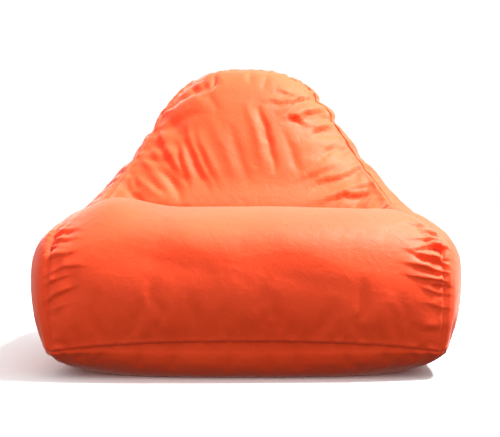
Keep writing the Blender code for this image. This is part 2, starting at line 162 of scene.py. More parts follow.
def net(t, u, s):
    """Each panel's points, in shares: t up the chair, u across it from -1 to 1, s from front to rear."""
    front_full = np.full(len(t), FRONT_FULLNESS)
    rear_full = REAR_FULLNESS + (FRONT_FULLNESS - REAR_FULLNESS) * smooth(t, CREASE, LAST)
    front = across_rows(along(SEAT_CENTRE, t), along(SEAT_SEAM, t), front_full, u)
    rear = across_rows(along(REAR_CENTRE, t), along(REAR_SEAM, t), rear_full, u)
    swell = along([[x] for x in SIDE_SWELL], t)
    a, b = front[:, -1], rear[:, -1]
    blend = np.stack([s, s, np.sqrt(s)], axis=-1)
    side = a[:, None] + (b - a)[:, None] * blend[None]
    bow = np.sqrt(np.maximum(0, 1 - (2 * s - 1) ** SIDE_FULLNESS))
    side[..., 0] += (swell - (a[:, :1] + b[:, :1]) / 2) * bow[None]
    first, last, left = front[0], rear[0], side[0]
    right = left * (-1, 1, 1)
    w = ((u + 1) / 2)[None, :, None]
    k = s[:, None, None]
    base = (1 - k) * first + k * last + (1 - w) * right[:, None] + w * left[:, None]
    base = base - (1 - k) * ((1 - w) * first[0] + w * first[-1]) - k * ((1 - w) * last[0] + w * last[-1])
    across, deep = np.abs(u)[None], np.abs(2 * s - 1)[:, None]
    rim = np.maximum(np.maximum(across, deep), 1e-6)
    rounded = (across**BASE_ROUNDNESS + deep**BASE_ROUNDNESS) ** (1 / BASE_ROUNDNESS)
    contact = BASE_CONTACT * rim / np.maximum(rounded, 1e-6)
    rise = np.clip((rim - contact) / (1 - contact), 0, 1)
    cornered = (across * deep / rim**2) ** 2
    base[..., 2] *= (1 - cornered) * (1 - np.sqrt(1 - rise**2)) + cornered * rise**CORNER_CURL
    return {"front": front, "rear": rear, "left": side, "right": side * (-1, 1, 1), "base": base}


def fit_of(nets):
    """The stretch and shift that fit the nets to the CAD's cover."""
    points = np.concatenate([n.reshape(-1, 3) for n in nets.values()])
    low, high = points.min(0), points.max(0)
    scale = SIZE / (high - low)
    return scale, cover_low - low * scale


FIT = fit_of(net(np.linspace(0, LAST, 79), np.linspace(-1, 1, 41), np.linspace(0, 1, 41)))


def surface(t, u, s):
    placed = {name: n * FIT[0] + FIT[1] for name, n in net(t, u, s).items()}
    rear = placed["rear"]
    near = smooth(np.abs(rear[..., 0]), *FLAT_BESIDE) * smooth(np.abs(rear[..., 2] - ZIP_Z), *FLAT_ABOVE)
    rear[..., 1] += (ZIP_Y - rear[..., 1]) * near
    return placed


def zip_row_height():
    """How far up the rear panel, in stations, the zip lies."""
    t = np.linspace(0, 4, 81)
    middle = surface(t, np.linspace(-1, 1, 3), np.linspace(0, 1, 3))["rear"][:, 1, 2]
    return float(np.interp(ZIP_Z, middle, t))


ZIP_T = zip_row_height()


# How strongly each seam gathers the cloth beside it
GATHERS = {"seat": 1.0, "backrest": 1.0, "rear": 0.8, "crease": 0.9, "top": 0.7, "apron": 0.2, "base": 0.25}
# The side seams gather less low down on the roll: the least share, and the rows between which it grows
LOW_GATHER, LOW_ROWS = 0.35, (1.6, 3.0)


def grid_quads(grid):
    """The faces between a grid's point numbers."""
    return np.stack([grid[:-1, :-1], grid[:-1, 1:], grid[1:, 1:], grid[1:, :-1]], axis=-1).reshape(-1, 4)


class Cloth:
    """The welded panels: points, faces, each panel's grid of point numbers, and distances from the seams."""

    def __init__(self, t, u, s):
        self.t, self.u, self.s = t, u, s
        placed = surface(t, u, s)
        every = np.concatenate([p.reshape(-1, 3) for p in placed.values()])
        _, self.first, index = np.unique(np.round(every, 6), axis=0, return_index=True, return_inverse=True)
        index = index.reshape(-1)
        self.points = every[self.first]
        self.ids, corners, start = {}, [], 0
        for name, p in placed.items():
            n = p.shape[0] * p.shape[1]
            g = index[start:start + n].reshape(p.shape[:2])
            self.ids[name] = g
            c = np.arange(start, start + n).reshape(g.shape)
            start += n
            quads = grid_quads(c)
            corners.append(quads if name in ("front", "left") else quads[:, ::-1])
        self.faces, self.corners = [], []
        corners = np.concatenate(corners)
        for face, corner in zip(index[corners].tolist(), corners.tolist()):
            kept = [k for k in range(4) if face[k] != face[k - 1]]
            if len(kept) > 2:
                self.faces.append([face[k] for k in kept])
                self.corners.append([corner[k] for k in kept])
        front, rear = self.ids["front"], self.ids["rear"]
        self.crease = int(np.argmin(np.abs(t - CREASE)))
        self.zip_row = int(np.argmin(np.abs(t - ZIP_T)))
        past_zip = np.abs(surface(t[self.zip_row:self.zip_row + 1], u, s)["rear"][0, :, 0]) > ZIP_END
        half = len(u) // 2
        zip_line = rear[self.zip_row]
        self.seams = {
            "seat_left": front[: self.crease + 1, -1],
            "seat_right": front[: self.crease + 1, 0],
            "backrest_left": front[self.crease:, -1],
            "backrest_right": front[self.crease:, 0],
            "rear_left": rear[:, -1],
            "rear_right": rear[:, 0],
            "crease": front[self.crease],
            "top": front[-1],
            "apron_left": zip_line[half:][past_zip[half:]],
            "apron_right": zip_line[:half][past_zip[:half]],
            "base": np.concatenate([
                front[0], self.ids["left"][0][1:], rear[0][::-1][1:], self.ids["right"][0][::-1][1:],
            ]),
        }
        self.on_seam = np.zeros(len(self.points), bool)
        for line in self.seams.values():
            self.on_seam[line] = True
        self.seam_distance, _ = nearest(self.points, self.points[self.on_seam])

    def every(self, grids):
        """Values on the panels' grids as one list, in which panels don't share points."""
        return np.concatenate([grids[n].reshape(g.size, -1) for n, g in self.ids.items()])

    def spread(self, grids):
        """One value for each point from values on the panels' grids."""
        return self.every(grids)[self.first]

    def gathers(self):
        """How strongly each point is drawn together along its seam."""
        share = np.zeros(len(self.points))
        for name, line in self.seams.items():
            share[line] = GATHERS[name.split("_")[0]]
        for name in ("seat_left", "seat_right"):
            line = self.seams[name]
            share[line] *= LOW_GATHER + (1 - LOW_GATHER) * smooth(self.t[: len(line)], *LOW_ROWS)
        return share

    def thread_lines(self, points):
        """Where each face corner lies on its flat panel, in metres, for the weave."""
        flat = {}
        for name, g in self.ids.items():
            p = points[g]
            over = np.linalg.norm(np.diff(p, axis=1), axis=2).cumsum(1)
            over = np.concatenate([np.zeros((len(p), 1)), over], axis=1)
            up = np.linalg.norm(np.diff(p, axis=0), axis=2).mean(1).cumsum()
            up = np.repeat(np.concatenate([[0], up])[:, None], p.shape[1], axis=1)
            flat[name] = np.stack([over - over[:, -1:] / 2, up], axis=-1)
        flat = self.every(flat)
        return np.concatenate([flat[c] for c in self.corners])


def nearest(points, targets):
    """Each point's distance to the nearest target, and which target it is."""
    tree = KDTree(len(targets))
    for k, p in enumerate(targets):
        tree.insert(p, k)
    tree.balance()
    found = [tree.find(p) for p in points]
    return np.array([f[2] for f in found]), np.array([f[1] for f in found])


def unit(vectors):
    """The vectors, each made one long."""
    return vectors / np.maximum(np.linalg.norm(vectors, axis=1, keepdims=True), 1e-12)


def normals_of(points, faces):
    quads = np.array([f if len(f) == 4 else [*f, f[0]] for f in faces])
    a, b, c, d = (points[quads[:, k]] for k in range(4))
    across = np.cross(c - a, d - b)
    total = np.zeros_like(points)
    for k in range(4):
        for axis in range(3):
            total[:, axis] += np.bincount(quads[:, k], weights=across[:, axis], minlength=len(points))
    return unit(total)


def linked(name, data):
    """A new object in the scene."""
    obj = bpy.data.objects.new(name, data)
    bpy.context.scene.collection.objects.link(obj)
    return obj


def make_mesh(name, points, faces, material=None):
    mesh = bpy.data.meshes.new(name)
    lengths = [len(f) for f in faces]
    starts = np.concatenate([[0], np.cumsum(lengths)[:-1]])
    mesh.vertices.add(len(points))
    mesh.vertices.foreach_set("co", np.asarray(points, np.float32).ravel())
    mesh.loops.add(sum(lengths))
    mesh.loops.foreach_set("vertex_index", np.concatenate([np.array(f) for f in faces]).astype(np.int32))
    mesh.polygons.add(len(faces))
    mesh.polygons.foreach_set("loop_start", starts.astype(np.int32))
    mesh.update(calc_edges=True)
    mesh.validate()
    if material:
        mesh.materials.append(material)
    return linked(name, mesh)


def finished(piece, body, slot, *replaced):
    """Shades a piece smooth, attaches it to what it rides on and hides the nodes that it stands for; slot is
    not used.
    """
    piece.data.shade_smooth()
    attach(piece, body)
    if replaced:
        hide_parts(*replaced)


# ---------------------------------------------------------------- folds

# Where folds run, in millimetres, as (x, z) from the front. Each: rise, half-width, and its points. A crease
# is a narrow valley, or a ridge if it rises. A tuck is a step: its cloth stands out on the left of the
# line's travel and falls back steeply along the line itself.
BACK_CREASES = [
    (-9, 9, (-210, 416), (-186, 399), (-165, 371), (-155, 344)),
    (6, 8, (-274, 419), (-254, 392), (-230, 371), (-196, 347)),
    (-5, 17, (-196, 540), (-172, 515), (-155, 480)),
    (-9, 8, (28, 558), (45, 517), (53, 480), (69, 418)),
    (-5, 11, (90, 505), (110, 452), (122, 410)),
    (4, 10, (0, 570), (24, 500), (40, 420)),
    (3, 12, (-85, 530), (-50, 460), (-30, 400)),
    (-3, 10, (-40, 520), (-18, 450), (4, 385)),
    (-7, 7, (-81, 655), (-78, 632), (-84, 610)),
    (-6, 8, (-142, 622), (-124, 606), (-106, 588)),
    (-4, 8, (10, 655), (6, 628)),
    (-4, 9, (-110, 640), (-95, 600), (-70, 560)),
    (-6, 7, (104, 652), (114, 640), (128, 632)),
    (-3, 9, (50, 645), (40, 610)),
]
BACK_TUCKS = [
    (8, 8, (-215, 508), (-196, 463), (-172, 426), (-158, 405)),
    (8, 7, (-165, 480), (-151, 433), (-133, 388)),
    (8, 8, (-147, 503), (-128, 453), (-107, 412), (-90, 385)),
    (6, 9, (-120, 492), (-97, 440), (-72, 390)),
    (5, 7, (-266, 453), (-247, 429), (-228, 413)),
    (4, 7, (-240, 475), (-220, 446), (-203, 430)),
    (4, 7, (-234, 405), (-215, 385), (-190, 362)),
    (6, 7, (76, 606), (98, 598), (130, 584)),
    (6, 6, (50, 585), (86, 577), (120, 579), (150, 586)),
    (6, 6, (88, 552), (113, 572), (140, 582), (170, 573)),
    (10, 7, (98, 541), (120, 541), (142, 526)),
    (8, 6, (124, 548), (151, 553), (175, 558), (192, 563)),
    (9, 6, (158, 506), (185, 517), (210, 520)),
    (3, 7, (165, 440), (195, 463), (224, 491)),
    (3, 6, (198, 439), (232, 461)),
    (8, 7, (165, 384), (206, 391), (240, 403), (262, 416)),
    (7, 6, (236, 363), (262, 373), (300, 384)),
    (9, 8, (178, 343), (229, 353), (275, 362), (300, 372)),
    (4, 7, (130, 392), (165, 405), (215, 424)),
]
ROLL_TUCKS = [
    (11, 7, (-430, 270), (-413, 291), (-384, 299)),
    (7, 6, (-408, 285), (-379, 291), (-346, 293)),
    (6, 6, (-405, 281), (-379, 277), (-350, 279)),
    (8, 6, (-425, 255), (-410, 264), (-390, 266)),
    (6, 7, (-412, 226), (-394, 244), (-355, 250)),
    (3, 6, (-398, 209), (-366, 224), (-330, 228)),
    (4, 5, (-402, 188), (-386, 199), (-358, 208)),
    (5, 6, (-404, 153), (-380, 170), (-342, 186)),
    (4, 6, (-374, 318), (-352, 323), (-333, 328)),
    (7, 6, (360, 294), (381, 291), (398, 287)),
    (6, 6, (345, 281), (371, 279), (403, 270)),
    (11, 7, (350, 262), (381, 267), (417, 261)),
    (9, 6, (382, 268), (408, 257), (434, 237)),
    (10, 7, (341, 254), (364, 245), (393, 241)),
    (8, 6, (372, 244), (391, 235), (414, 219)),
    (9, 7, (330, 231), (354, 226), (381, 216), (410, 212)),
    (6, 6, (330, 207), (360, 204), (388, 199), (407, 194)),
    (8, 6, (370, 195), (397, 188)),
    (4, 6, (350, 187), (374, 175), (400, 171)),
    (4, 7, (322, 308), (350, 305), (380, 297)),
    (3, 6, (-404, 131), (-385, 137), (-360, 150)),
    (3, 6, (366, 152), (398, 143)),
    (6, 5, (346, 113), (366, 108), (390, 105)),
]
# Broad swells and hollows on the roll and the backrest, in the same way
ROLL_SWELLS = [
    (4, 60, (250, 322), (300, 316)),
    (4, 45, (-210, 300), (-100, 266), (0, 248)),
    (-4, 42, (-230, 258), (-120, 228), (-20, 212)),
    (4, 50, (30, 285), (130, 252), (240, 214)),
    (-4, 42, (10, 232), (110, 202), (210, 165)),
    (4, 45, (-310, 196), (-210, 162), (-100, 148)),
    (4, 50, (230, 135), (310, 155)),
]
BACK_SWELLS = [
    (8, 45, (-170, 560), (-100, 600)),
    (7, 40, (160, 545), (120, 600)),
    (-6, 35, (170, 570), (150, 560)),
    (6, 50, (180, 450), (220, 430)),
    (7, 30, (-100, 640), (-62, 655)),
]
# Swells by place on the seat panel: rise, row up the chair and place across, and the extent of each
SHOULDERS = [
    (0.031, 4.5, -0.71, 1.0, 0.20),
    (0.003, 4.2, 0.62, 0.9, 0.22),
]
# The side panels' tucks, in millimetres, as (y, z) from the side; most run down from the crease's end
SIDE_TUCKS = {
    "right": [
        (7, 18, (95, 325), (50, 280), (-20, 240), (-100, 215)),
        (7, 18, (130, 335), (122, 275), (92, 205), (50, 150)),
        (8, 18, (165, 350), (188, 290), (208, 220), (212, 150)),
        (6, 16, (195, 395), (240, 350), (285, 290), (305, 230)),
        (6, 14, (220, 450), (270, 425), (325, 385), (365, 345)),
        (4, 10, (255, 515), (305, 500), (360, 475)),
        (6, 16, (-215, 60), (-205, 100), (-180, 140)),
        (5, 16, (-60, 58), (-66, 90), (-58, 120)),
        (6, 16, (140, 58), (128, 100), (134, 135)),
        (5, 16, (290, 60), (302, 105), (298, 150)),
    ],
    "left": [
        (7, 18, (80, 330), (20, 300), (-60, 272), (-140, 262)),
        (7, 18, (110, 330), (85, 265), (30, 205), (-40, 170)),
        (6, 18, (150, 345), (155, 280), (142, 200)),
        (7, 18, (180, 370), (220, 310), (245, 235), (248, 170)),
        (5, 14, (205, 425), (260, 385), (315, 330)),
        (5, 12, (235, 480), (290, 462), (350, 430)),
        (6, 16, (-150, 58), (-138, 100), (-145, 135)),
        (5, 16, (60, 58), (70, 100), (62, 130)),
        (5, 16, (225, 60), (215, 95), (222, 130)),
    ],
}
# Folds round the backrest's right side that notch its outline: rise, half-width and height, in millimetres
SIDE_FOLDS = [
    (-12, 9, 584),
    (5, 15, 558),
    (-8, 8, 534),
]
# Where the backrest's right side starts, and how far back the folds round it reach
SIDE_FOLD_X = (0.09, 0.16)
SIDE_FOLD_Y = (0.43, 0.35)
MM_PER_M = 1000
FOLD_STEP = 0.003
TUCK_REACH, CREASE_REACH = 6, 3.5
# Folds fade towards their ends: how far along they already are there, and how quickly they grow
FOLD_START, FOLD_GROWTH = 0.08, 0.7
# A tuck: its steepness, how deep its low side is, and how far out and how fast it dies away
TUCK_STEEPNESS, TUCK_LOW, TUCK_WIDTH, TUCK_FADE = 0.45, 0.75, 1.9, 1.3
# A crease: its width at its ends, the lips beside it and where they stop, and how it dies away
CREASE_END, CREASE_LIP, LIP_END, CREASE_FADE, CREASE_DROP = 0.65, 0.30, 2.2, 1.3, 0.75


def fold_line(cloth, panel, rows, places):
    """The panel's points, between the rows, that a fold's line runs over."""
    shown = cloth.ids[panel][rows].ravel()
    lengths = np.linalg.norm(np.diff(places, axis=0), axis=1)
    count = max(3, int(lengths.sum() / FOLD_STEP))
    path = spline_matrix(len(places), np.linspace(0, len(places) - 1, count)) @ places
    flat = cloth.points[shown][:, [0 if panel == "front" else 1, 2]]
    return [shown[np.argmin(((flat - p) ** 2).sum(1))] for p in path]


def eased_line(line):
    for _ in range(4):
        line[1:-1] = (line[:-2] + 2 * line[1:-1] + line[2:]) / 4
    return line


def fold_rise(cloth, facing, panel, rows, folds, tucked):
    """How far each point rises for the folds: creases, or tucks."""
    rise = np.zeros(len(cloth.points))
    for height, width, *places in folds:
        height, width = height / MM_PER_M, width / MM_PER_M
        picked = fold_line(cloth, panel, rows, np.array(places) / MM_PER_M)
        line = eased_line(cloth.points[picked])
        reach = width * (TUCK_REACH if tucked else CREASE_REACH)
        low, high = line.min(0) - reach, line.max(0) + reach
        near = np.flatnonzero(((cloth.points > low) & (cloth.points < high)).all(1))
        if not len(near):
            continue
        distance, which = nearest(cloth.points[near], line)
        share = which / (len(line) - 1)
        taper = np.sin(np.pi * (FOLD_START + (1 - 2 * FOLD_START) * share)) ** FOLD_GROWTH
        if tucked:
            outward = np.cross(eased_line(facing[picked]), np.gradient(line, axis=0))[which]
            side = np.sign(((cloth.points[near] - line[which]) * outward).sum(1))
            step = np.tanh(distance / (TUCK_STEEPNESS * width)) * np.where(side > 0, 1.0, -TUCK_LOW)
            fade = np.exp(-((distance / (TUCK_WIDTH * width)) ** TUCK_FADE))
            rise[near] += height * taper * step * fade
        else:
            r = distance / (width * (CREASE_END + (1 - CREASE_END) * taper))
            lips = 1 - CREASE_LIP * np.minimum(r, LIP_END) ** 2
            rise[near] += height * taper * lips * np.exp(-(r**CREASE_FADE) * CREASE_DROP)
    return rise


def folded(cloth, points, *folds):
    """The points moved out along their normals for (panel, rows, folds, tucked) lists."""
    facing = normals_of(cloth.points, cloth.faces)
    rise = sum(fold_rise(cloth, facing, *one) for one in folds)
    return points + normals_of(points, cloth.faces) * rise[:, None]


def side_fold_rise(points):
    """How far the backrest's right side moves out for the folds that run round it."""
    x, y, z = points.T
    folds = np.array(SIDE_FOLDS) / MM_PER_M
    rise = sum(most * np.exp(-np.abs((z - height) / half) ** 1.5) for most, half, height in folds)
    return smooth(x, *SIDE_FOLD_X) * smooth(y, *SIDE_FOLD_Y) * rise


# ---------------------------------------------------------------- cloth simulation

COARSE_ROWS = (68, 44)
COARSE_U = 73
COARSE_S = 65
FRAMES = 20
MERGE = 0.0045
BAND = 0.03
SMOOTH_HOLD, SEAM_HOLD = 0.09, 0.60
SMOOTH_PASSES = 70
KEPT_BULGE = 0.30
MOVE_CAP = 0.020
MIDDLE_DETAIL = 0.06
DETAIL_EDGE = (0.15, 0.05)
# How far from the zip the cloth starts to be held, and how far from it it is still; the same above the floor
HELD_BESIDE = (0.345, 0.248)
HELD_ABOVE = (0.105, 0.024)
HELD_ON_FLOOR = (0.026, 0.008)
BEHIND = 0.3
CLOTH_SETTINGS = {
    "quality": 5, "mass": 0.15, "tension_stiffness": 15, "compression_stiffness": 15, "shear_stiffness": 5,
    "bending_stiffness": 0.3, "use_pressure": True, "uniform_pressure_force": 4, "vertex_group_mass": "hold",
    "pin_stiffness": 1, "vertex_group_shrink": "shrink", "shrink_min": -0.02, "shrink_max": 0.08,
}


def coarse_cloth():
    low, high = COARSE_ROWS
    t = np.concatenate([np.linspace(0, CREASE, low + 1), np.linspace(CREASE, LAST, high + 1)[1:]])
    return Cloth(t, np.linspace(-1, 1, COARSE_U), np.linspace(0, 1, COARSE_S))


def row_index(t):
    """Where the height t lies among the coarse rows."""
    low, high = COARSE_ROWS
    return np.where(t < CREASE, t / CREASE * low, low + (t - CREASE) / (LAST - CREASE) * high)


def zip_share(points):
    """1 on the flat cloth around the zip, fading to 0 away from it."""
    beside = smooth(np.abs(points[:, 0]), *HELD_BESIDE)
    above = smooth(np.abs(points[:, 2] - ZIP_Z), *HELD_ABOVE)
    return beside * above * (points[:, 1] > BEHIND)


def still_share(points):
    """1 where the cloth can't move, on the floor and around the zip, and 0 where it is free."""
    return np.maximum(zip_share(points), smooth(points[:, 2], *HELD_ON_FLOOR))


def welded_mesh(cloth, start):
    """A mesh with tiny edges merged, its points' numbers in the cloth, and the cloth's points' in it."""
    mesh = bmesh.new()
    for p in start:
        mesh.verts.new(p)
    mesh.verts.ensure_lookup_table()
    for f in cloth.faces:
        mesh.faces.new([mesh.verts[v] for v in f])
    mesh.verts.index_update()
    doubles = bmesh.ops.find_doubles(mesh, verts=mesh.verts, dist=MERGE)["targetmap"]
    owner = np.arange(len(start))
    for gone, kept in doubles.items():
        owner[gone.index] = kept.index
    for _ in range(6):
        owner = owner[owner]
    bmesh.ops.weld_verts(mesh, targetmap=doubles)
    data = bpy.data.meshes.new("simulated")
    mesh.to_mesh(data)
    mesh.free()
    kept = np.unique(owner)
    number = np.zeros(len(start), int)
    number[kept] = np.arange(len(kept))
    return data, kept, number[owner]


def weight_group(obj, name, weights):
    group = obj.vertex_groups.new(name=name)
    weights = np.round(weights, 2)
    for w in np.unique(weights):
        group.add(np.flatnonzero(weights == w).tolist(), float(w), "REPLACE")


def simulate(cloth, start):
    """How far each cloth point moves from start when the filled cover settles."""
    data, kept, number = welded_mesh(cloth, start)
    obj = linked("simulated", data)
    near_seam = smooth(cloth.seam_distance[kept], BAND, 0)
    hold = SMOOTH_HOLD + (SEAM_HOLD - SMOOTH_HOLD) * near_seam
    weight_group(obj, "hold", hold + (1 - hold) * still_share(cloth.points[kept]))
    weight_group(obj, "shrink", cloth.gathers()[kept])
    modifier = obj.modifiers.new("cloth", "CLOTH")
    settings = modifier.settings
    for name, value in CLOTH_SETTINGS.items():
        setattr(settings, name, value)
    settings.effector_weights.gravity = 0
    modifier.point_cache.frame_start = 1
    modifier.point_cache.frame_end = FRAMES
    scene = bpy.context.scene
    scene.frame_start, scene.frame_end = 1, FRAMES
    for number_of_frame in range(1, FRAMES + 1):
        scene.frame_set(number_of_frame)
    settled = obj.evaluated_get(bpy.context.evaluated_depsgraph_get())
    found = np.empty(len(kept) * 3, np.float32)
    settled.data.vertices.foreach_get("co", found)
    move = found.reshape(-1, 3).astype(float) - start[kept]
    scene.frame_set(1)
    bpy.data.objects.remove(obj)
    bpy.data.meshes.remove(data)
    return move[number]


def averaged(values, faces, passes):
    """Values smoothed over neighbouring points."""
    pairs = np.array([[f[k - 1], f[k]] for f in faces for k in range(len(f))])
    a, b = pairs[:, 0], pairs[:, 1]
    count = np.bincount(a, minlength=len(values)) + np.bincount(b, minlength=len(values)) + 1.0
    for _ in range(passes):
        total = values.copy()
        for axis in range(3):
            total[:, axis] += np.bincount(a, weights=values[b, axis], minlength=len(values))
            total[:, axis] += np.bincount(b, weights=values[a, axis], minlength=len(values))
        values = total / count[:, None]
    return values


def shoulder_rise(cloth):
    """The seat's roll stands prouder at its shoulders, most of all at the one on -X."""
    rows, columns = cloth.t[:, None], cloth.u[None, :]
    rise = {name: np.zeros(g.shape) for name, g in cloth.ids.items()}
    for height, at_t, at_u, tall, wide in SHOULDERS:
        rise["front"] += height * np.exp(-(((rows - at_t) / tall) ** 2) - ((columns - at_u) / wide) ** 2)
    return cloth.spread(rise)[:, 0]


def settled_cover():
    """The coarse cloth and how far each of its points moves from the CAD's smooth form."""
    cloth = coarse_cloth()
    lower = slice(0, cloth.crease + 1)
    upper = slice(cloth.crease, None)
    swells = [("front", lower, ROLL_SWELLS, False), ("front", upper, BACK_SWELLS, False)]
    start = folded(cloth, cloth.points, *swells)
    start += normals_of(start, cloth.faces) * shoulder_rise(cloth)[:, None]
    free = 1 - still_share(cloth.points)[:, None]
    start = cloth.points + (start - cloth.points) * free
    move = simulate(cloth, start)
    bulge = averaged(move, cloth.faces, SMOOTH_PASSES)
    beside_seam = MIDDLE_DETAIL + (1 - MIDDLE_DETAIL) * smooth(cloth.seam_distance, *DETAIL_EDGE)[:, None]
    move = (move - bulge + KEPT_BULGE * bulge) * beside_seam
    far = np.maximum(np.linalg.norm(move, axis=1), 1e-9)
    move *= (MOVE_CAP * np.tanh(far / MOVE_CAP) / far)[:, None] * free
    return cloth, start + move - cloth.points


# ---------------------------------------------------------------- the fine cover

FINE_ROWS = (12, 85, 40, 80)
ROW_STATIONS = (0, 1.2, 4.6, CREASE, LAST)
STATION, ZIP_STATION = 0.075, 0.043
GROOVE_LINES = (0.0, 0.0053, 0.0064, 0.0076)
FINE_U = 57
FINE_S = 39
EDGE_LINES = (0.0, 0.0016, 0.0042, 0.0080, 0.0115)
GROOVE_DEPTH = 0.0042
GROOVE_EDGE = (0.0072, 0.0056)
GROOVE_END = (ZIP_END + 0.001, ZIP_END - 0.002)
SEAM_DEPTH = 0.0034
SEAM_WIDTH = 0.0035
WELT_RISE = 0.0009
WELT_START, WELT_END = (0.001, 0.004), (0.0135, 0.0085)
PUCKER_REACH, PUCKER_PITCH, PUCKER_START = 0.045, 0.017, 0.004
SEAT_PUCKER, PUCKER = 0.0009, 0.0014
PUCKER_LENGTHS, PUCKER_WIDTHS = (0.008, 0.026), (0.0045, 0.0075)
UNEVEN, LEAN, SEED = 0.35, 0.35, 11
# About half the width and the depth of a panel, and how much its lines crowd towards its edges
HALF_WIDTH, HALF_DEPTH = 0.36, 0.30
CROWDING_U, CROWDING_S = 0.12, 0.20


def toward_edges(count, half, crowding):
    """Shares from 0 at the middle to 1 at the edge, in steps that shorten towards it, then close lines."""
    edge = 1 - np.array(EDGE_LINES) / half
    v = np.linspace(0, 1, count - len(edge) + 2)[:-1]
    inner = v * (1 + crowding * (1 - v**2)) * edge[-1]
    return np.concatenate([inner, edge[::-1]])


def fine_rows():
    """Even steps up the chair, with closer lines beside each cross seam and along the zip's opening."""
    parts = zip(ROW_STATIONS, ROW_STATIONS[1:], FINE_ROWS)
    even = np.unique(np.concatenate([np.linspace(a, b, count + 1) for a, b, count in parts]))
    close = [ZIP_T + side * d / ZIP_STATION for d in GROOVE_LINES for side in (-1, 1)]
    seams = (0, CREASE, LAST)
    close += [seam + side * d / STATION for d in EDGE_LINES for seam in seams for side in (-1, 1)]
    close = np.unique(np.round([t for t in close if 0 <= t <= LAST], 6))
    apart = np.abs(even[:, None] - close[None]).min(1)
    return np.sort(np.concatenate([even[apart > 0.4 * np.gradient(even)], close]))


def fine_cloth():
    t = fine_rows()
    half_u = toward_edges(FINE_U, HALF_WIDTH, CROWDING_U)
    half_s = toward_edges(FINE_S, HALF_DEPTH, CROWDING_S)
    u = np.concatenate([-half_u[:0:-1], half_u])
    s = (np.concatenate([-half_s[:0:-1], half_s]) + 1) / 2
    return Cloth(t, u, s)


def refined(coarse, move, fine):
    """The coarse cloth's movement, read at the fine cloth's points."""
    rows = spline_matrix(len(coarse.t), row_index(fine.t))
    columns = spline_matrix(len(coarse.u), (fine.u + 1) / 2 * (len(coarse.u) - 1))
    depths = spline_matrix(len(coarse.s), fine.s * (len(coarse.s) - 1))
    pairs = {
        "front": (rows, columns), "rear": (rows, columns), "left": (rows, depths), "right": (rows, depths),
        "base": (depths, columns),
    }
    grids = {}
    for name, (a, b) in pairs.items():
        grids[name] = np.einsum("ri,cj,ijk->rck", a, b, move[coarse.ids[name]], optimize=True)
    return fine.spread(grids)


def pucker_rise(cloth, points):
    """Small ripples that run out from the seams and die away, their spacing uneven along the seam."""
    rng = np.random.default_rng(SEED)
    rise = np.zeros(len(points))
    for name, line in cloth.seams.items():
        path = points[line]
        length = np.concatenate([[0], np.cumsum(np.linalg.norm(np.diff(path, axis=0), axis=1))])
        low, high = path.min(0) - PUCKER_REACH, path.max(0) + PUCKER_REACH
        near = np.flatnonzero(((points > low) & (points < high)).all(1))
        distance, which = nearest(points[near], path)
        keep = distance < PUCKER_REACH
        near, distance, which = near[keep], distance[keep], which[keep]
        place = length[which]
        count = max(4, int(length[-1] / PUCKER_PITCH))
        centres = (np.arange(count) + rng.uniform(-UNEVEN, UNEVEN, count)) * length[-1] / count
        heights = rng.uniform(-1, 1, count)
        reaches = rng.uniform(*PUCKER_LENGTHS, count)
        widths = rng.uniform(*PUCKER_WIDTHS, count)
        leans = rng.uniform(-LEAN, LEAN, count)
        order = np.clip(np.searchsorted(centres, place), 1, count - 1)
        value = np.zeros(len(near))
        for step in (-2, -1, 0, 1):
            k = np.clip(order + step, 0, count - 1)
            off = (place - centres[k] - leans[k] * distance) / widths[k]
            value += heights[k] * np.exp(-(off**2)) * np.exp(-((distance / reaches[k]) ** 2))
        start = smooth(distance, 0.0, PUCKER_START)
        rise[near] += (SEAT_PUCKER if name.startswith("seat") else PUCKER) * value * start
    return rise


def seam_rise(distance):
    """A sewn seam's valley, with the folded allowance standing up a little on both sides of it."""
    valley = -SEAM_DEPTH * np.exp(-((distance / SEAM_WIDTH) ** 2) * 1.5)
    welt = WELT_RISE * smooth(distance, *WELT_START) * smooth(distance, *WELT_END)
    return valley + welt


def groove_share(points):
    """1 in the opening that the zip shows through, 0 outside it."""
    above = smooth(np.abs(points[:, 2] - ZIP_Z), *GROOVE_EDGE)
    beside = smooth(np.abs(points[:, 0]), *GROOVE_END)
    return above * beside * (points[:, 1] > BEHIND)


def build_cover():
    """Reads the settled cloth onto the fine grids, and adds their tucks, creases, seams and puckers."""
    coarse, move = settled_cover()
    fine = fine_cloth()
    points = fine.points + refined(coarse, move, fine)
    lower = slice(0, fine.crease + 1)
    upper = slice(fine.crease, None)
    folds = [("front", lower, ROLL_TUCKS, True), ("front", upper, BACK_TUCKS, True)]
    folds += [("front", upper, BACK_CREASES, False)]
    folds += [(side, slice(None), tucks, True) for side, tucks in SIDE_TUCKS.items()]
    points[:, 0] += side_fold_rise(points)
    points = folded(fine, points, *folds)
    rise = (pucker_rise(fine, points) + seam_rise(fine.seam_distance)) * (1 - zip_share(fine.points))
    points = points + normals_of(points, fine.faces) * rise[:, None]
    points[:, 1] -= GROOVE_DEPTH * groove_share(fine.points)
    points[:, 2] = np.maximum(points[:, 2], 0)
    return coarse, fine, points, coarse.points + move


# ---------------------------------------------------------------- materials


